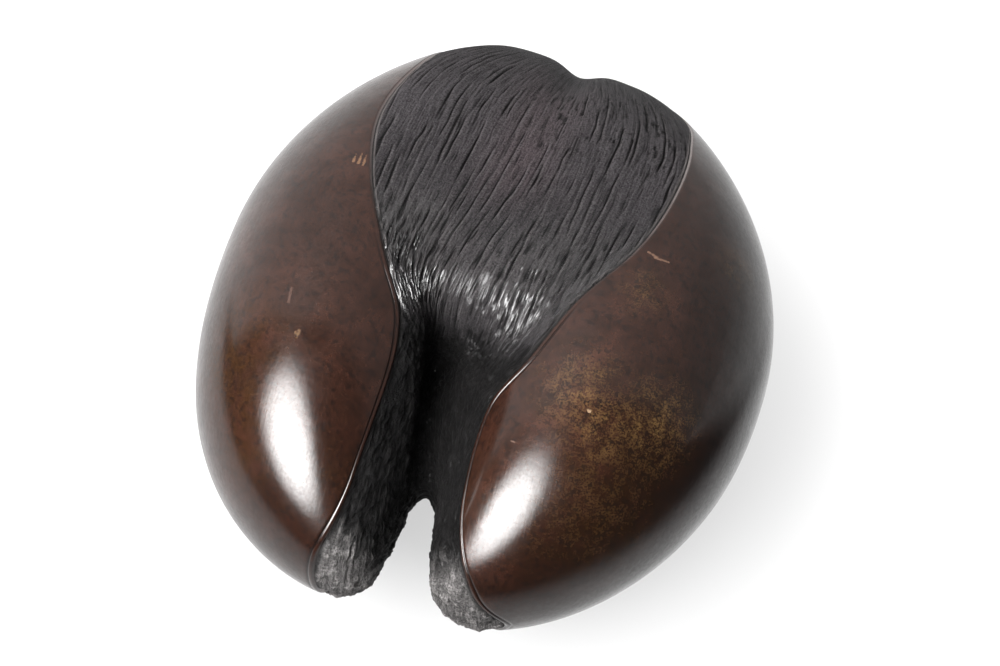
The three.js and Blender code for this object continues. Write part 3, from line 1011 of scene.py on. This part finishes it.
def add_surroundings():
    """A dark room with a bright sheet that fills its back half, brighter on the left.

    The camera sees a pale backdrop in its place.
    """
    world = bpy.data.worlds.new("studio")
    world.use_nodes = True
    tree = Tree(world.node_tree)
    background = world.node_tree.nodes["Background"]
    seen = tree.node("LightPath").outputs["Is Camera Ray"]
    way = tree.node("SeparateXYZ", {0: tree.node("TexCoord").outputs["Generated"]}).outputs
    behind = tree.soft_step(way["Y"], *ROOM["behind"])
    sided = tree.remap(way["X"], -1.0, 1.0, ROOM["left"], ROOM["right"])
    glow = tree.plus(tree.times(behind, sided), ROOM["rest"])
    shown = tree.times(seen, ROOM["seen"])
    hidden = tree.times(tree.math("SUBTRACT", 1.0, seen), glow)
    tree.put(background.inputs["Color"], (1.0, 1.0, 1.0))
    tree.put(background.inputs["Strength"], tree.plus(shown, hidden))
    bpy.context.scene.world = world


def add_softbox(name, direction, distance, size, watts, diffuse=True, glossy=True):
    """An oval light in a direction from the middle of the seed, facing it, with soft edges.

    Its strength falls with the distance from its middle, on its own coordinates, which run
    from 0 to 1 on both sides; their third value isn't one of them and is left out.
    """
    lamp = bpy.data.lights.new(name, "AREA")
    lamp.shape = "ELLIPSE"
    lamp.size, lamp.size_y = size
    lamp.energy = watts
    lamp.use_nodes = True
    tree = Tree(lamp.node_tree)
    spot = tree.node("NewGeometry").outputs["Parametric"]
    spot = tree.vectors("SUBTRACT", spot, (0.5, 0.5, 0.0))[0]
    spot = tree.vectors("MULTIPLY", spot, (1.0, 1.0, 0.0))[0]
    reach = tree.vectors("LENGTH", spot)["Value"]
    tree.put(lamp.node_tree.nodes["Emission"].inputs["Strength"],
             tree.soft_step(reach, SOFTBOX_EDGE, SOFTBOX_CORE))
    holder = bpy.data.objects.new(name, lamp)
    bpy.context.scene.collection.objects.link(holder)
    way = Vector(direction).normalized()
    holder.location = Vector(SEED_MIDDLE) * MM + way * distance
    holder.rotation_euler = way.to_track_quat("Z", "Y").to_euler()
    holder.visible_diffuse, holder.visible_glossy = diffuse, glossy


def add_camera():
    """The photograph's view: a camera turned round its target, then rolled."""
    azimuth, elevation, roll = (VIEW[name] * DEGREE for name in ("azimuth", "elevation", "roll"))
    back = Vector((np.sin(azimuth) * np.cos(elevation), -np.cos(azimuth) * np.cos(elevation),
                   np.sin(elevation)))
    right = Vector((np.cos(azimuth), np.sin(azimuth), 0))
    up = back.cross(right)
    turned_right = right * np.cos(roll) + up * np.sin(roll)
    turned_up = up * np.cos(roll) - right * np.sin(roll)
    camera = bpy.data.cameras.new("camera")
    camera.sensor_width = SENSOR_WIDTH
    camera.lens = SENSOR_WIDTH * VIEW["distance"] * PIXELS_PER_MM / PHOTO_WIDTH
    holder = bpy.data.objects.new("camera", camera)
    bpy.context.scene.collection.objects.link(holder)
    facing = Matrix((turned_right, turned_up, back)).transposed().to_4x4()
    place = (Vector(VIEW["target"]) + back * VIEW["distance"]) * MM
    holder.matrix_world = Matrix.Translation(place) @ facing
    bpy.context.scene.camera = holder


add_seed()
add_floor()
add_surroundings()
add_softbox("key", direction=(-0.34, -0.70, 0.66), distance=0.60, size=(0.78, 0.72), watts=54.0,
            diffuse=False)
add_softbox("wash", direction=(-0.36, -0.69, 0.66), distance=0.63, size=(0.70, 0.66), watts=22.0,
            glossy=False)
add_softbox("fill", direction=(-0.45, 0.10, 0.85), distance=1.0, size=(0.9, 0.9), watts=52.0,
            glossy=False)
add_camera()
bpy.context.scene.view_settings.view_transform = "Standard"
